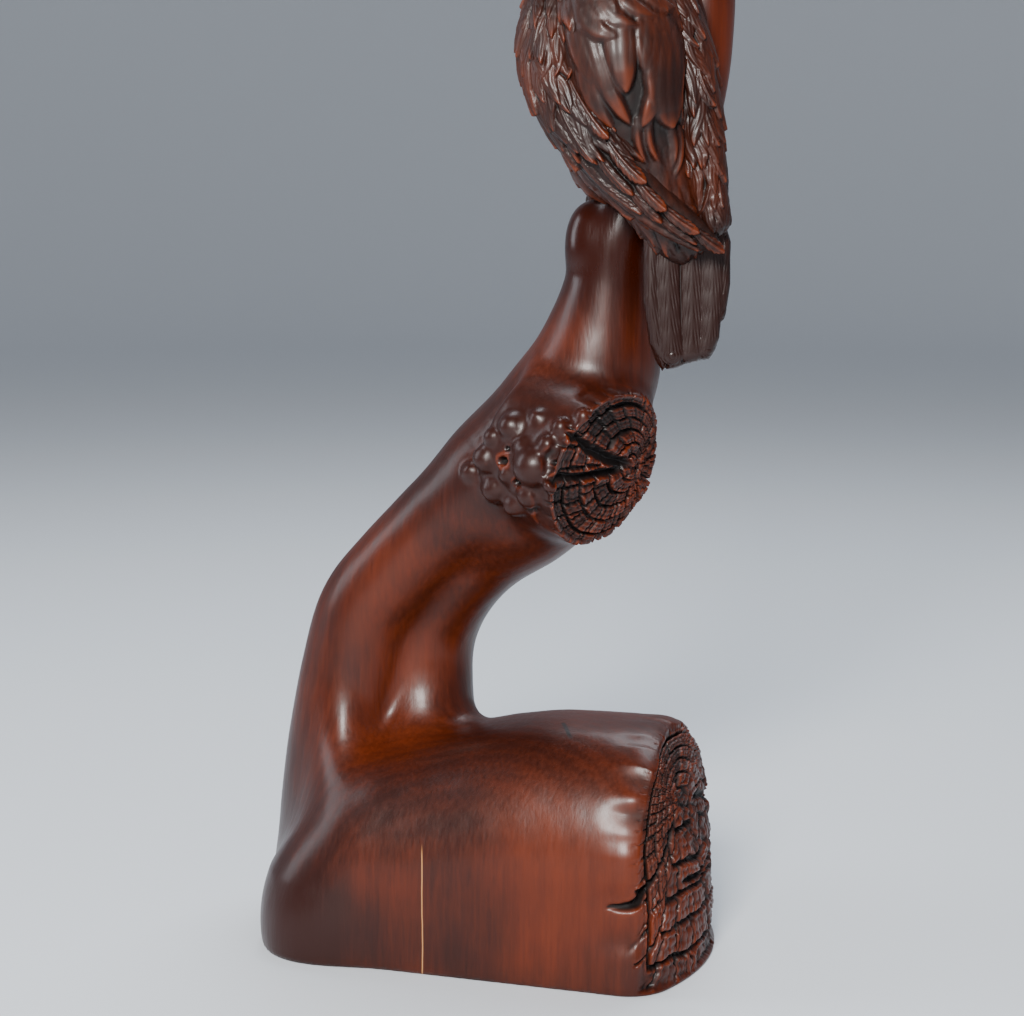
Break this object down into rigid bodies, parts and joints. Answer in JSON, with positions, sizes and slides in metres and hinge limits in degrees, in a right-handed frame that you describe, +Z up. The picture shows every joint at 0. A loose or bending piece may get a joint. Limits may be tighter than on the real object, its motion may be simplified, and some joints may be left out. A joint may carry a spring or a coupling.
{
  "type": "carved wooden figurine",
  "caption": "Free-standing wood carving of a perched bird of prey on a bent trunk with burl and sawn stub, rising from a lying log that forms the flat base.",
  "frame": {"origin": "on the log's flat resting face, close to its middle, at table height", "axes": "+Z up; +X towards the end with the ringed end grain and the sawn stub; -Y is the side that shows the bird's back"},
  "size_m": [0.1177, 0.0923, 0.2999],
  "materials": {
    "stained_wood": "red-brown stain under wax, satin gloss",
    "feather_wood": "red-brown stain under wax, darker in the cuts",
    "eye_bead": "black polished bead",
    "peg_wood": "plain unstained peg"
  },
  "bodies": {
    "root": {"log_base": "stained_wood", "trunk": "stained_wood", "bird_body": "feather_wood", "bird_head": "feather_wood", "left_wing": "feather_wood", "right_wing": "feather_wood", "tail": "feather_wood", "left_foot": "feather_wood", "right_foot": "feather_wood", "left_eye": "eye_bead", "right_eye": "eye_bead", "trunk_peg_1": "peg_wood", "trunk_peg_2": "peg_wood", "body_peg_upper": "peg_wood", "body_peg_lower": "peg_wood", "head_peg": "peg_wood", "left_wing_peg": "peg_wood", "right_wing_peg": "peg_wood", "tail_peg": "peg_wood"}
  },
  "joints": []
}
